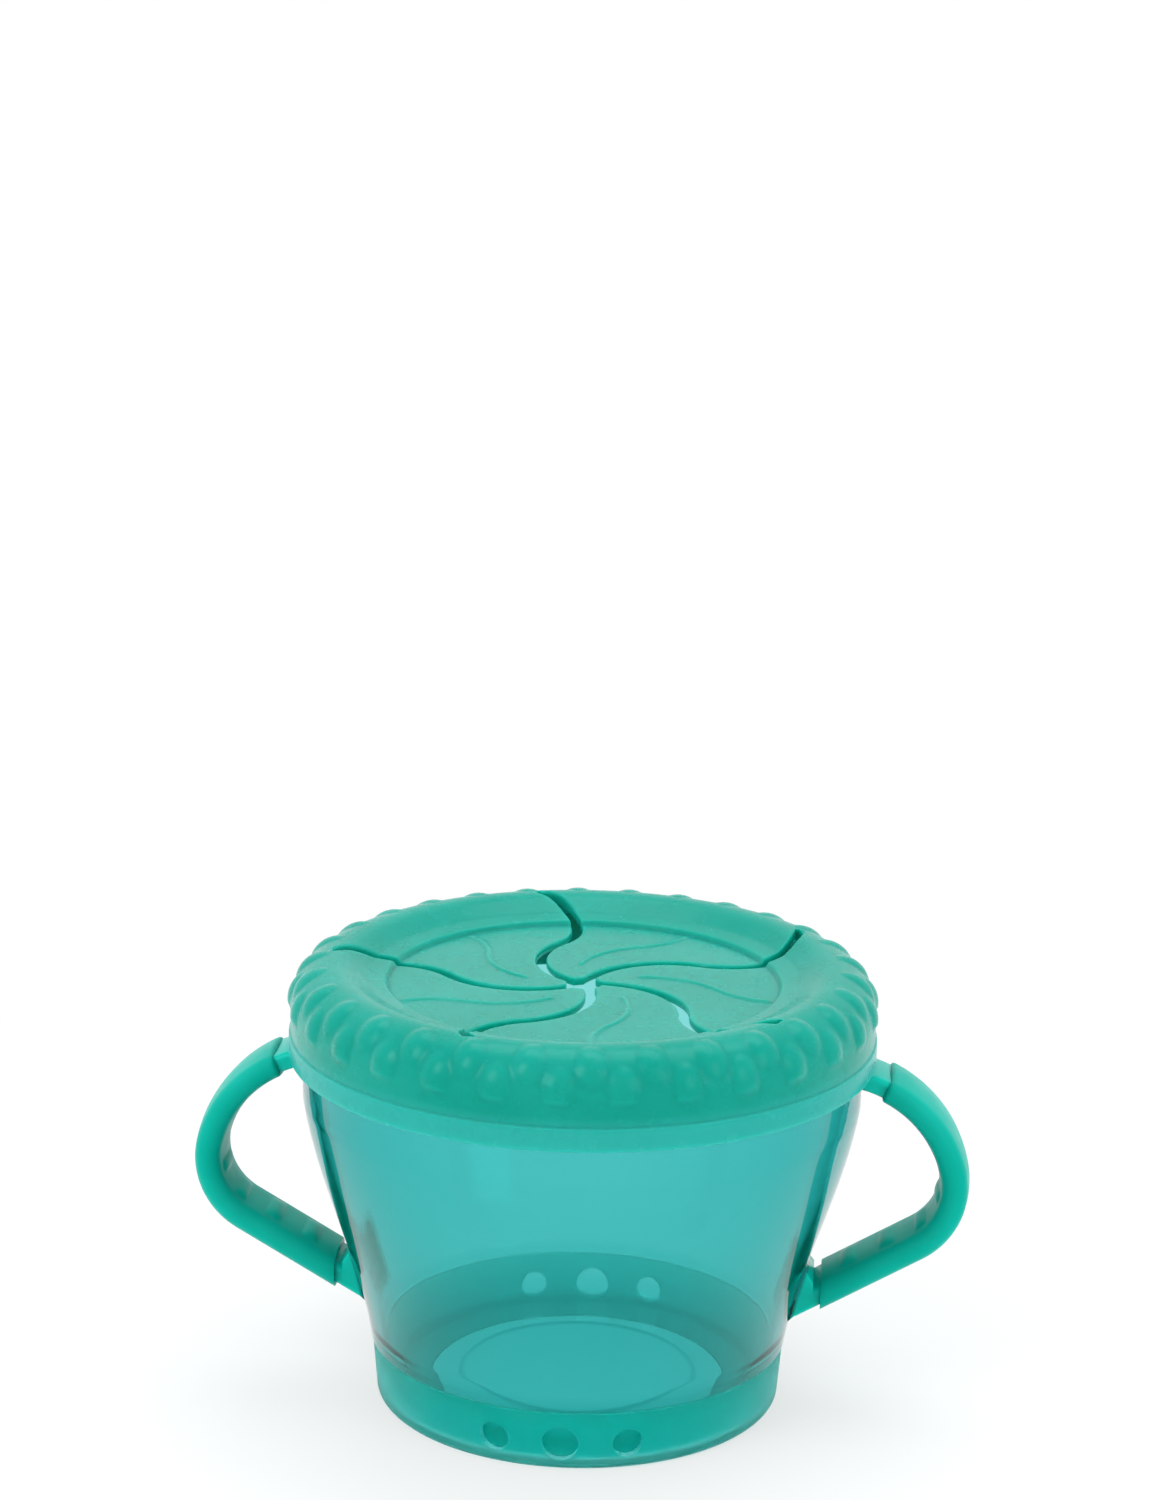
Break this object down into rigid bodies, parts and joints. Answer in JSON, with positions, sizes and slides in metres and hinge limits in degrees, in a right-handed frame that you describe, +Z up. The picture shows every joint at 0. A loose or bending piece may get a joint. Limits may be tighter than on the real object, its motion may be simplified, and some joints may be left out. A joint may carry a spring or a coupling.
{
  "type": "toddler snack container",
  "caption": "Two-handled toddler snack cup with a soft lift-off lid whose S-shaped slits let a small hand in and keep snacks from spilling.",
  "frame": {"origin": "centre of the base, on the surface that the cup stands on", "axes": "+Z up, handles along X, front towards -Y"},
  "size_m": [0.1268, 0.0956, 0.0733],
  "materials": {
    "cup": "gloss, translucent",
    "band": "satin, soft to the touch",
    "grip": "satin, soft to the touch",
    "lid": "satin, translucent and soft"
  },
  "bodies": {
    "cup": {"cup": "cup", "base_band": "band", "grip_left": "grip", "grip_right": "grip"},
    "lid": {"lid": "lid"},
    "flap_1": {"flap_1": "lid"},
    "flap_2": {"flap_2": "lid"},
    "flap_3": {"flap_3": "lid"},
    "flap_4": {"flap_4": "lid"},
    "flap_5": {"flap_5": "lid"}
  },
  "joints": [
    {"name": "lid_lift", "type": "slide", "parent": "cup", "child": "lid", "axis": [0, 0, 1], "range_m": [0, 0.03]},
    {"name": "flap_1_bend", "type": "hinge", "parent": "lid", "child": "flap_1", "pos_m": [-0.0167, 0.01793, 0.0692], "axis": [0.7319, 0.6814, 0], "range_deg": [-35, 65], "stiffness_Nm_per_rad": 0.03},
    {"name": "flap_2_bend", "type": "hinge", "parent": "lid", "child": "flap_2", "pos_m": [-0.02222, -0.01034, 0.0692], "axis": [-0.4218, 0.9067, 0], "range_deg": [-35, 65], "stiffness_Nm_per_rad": 0.03},
    {"name": "flap_3_bend", "type": "hinge", "parent": "lid", "child": "flap_3", "pos_m": [0.00297, -0.02432, 0.0692], "axis": [-0.9927, -0.121, 0], "range_deg": [-35, 65], "stiffness_Nm_per_rad": 0.03},
    {"name": "flap_4_bend", "type": "hinge", "parent": "lid", "child": "flap_4", "pos_m": [0.02405, -0.0047, 0.0692], "axis": [-0.1917, -0.9815, 0], "range_deg": [-35, 65], "stiffness_Nm_per_rad": 0.03},
    {"name": "flap_5_bend", "type": "hinge", "parent": "lid", "child": "flap_5", "pos_m": [0.0119, 0.02142, 0.0692], "axis": [0.8742, -0.4856, 0], "range_deg": [-35, 65], "stiffness_Nm_per_rad": 0.03}
  ]
}
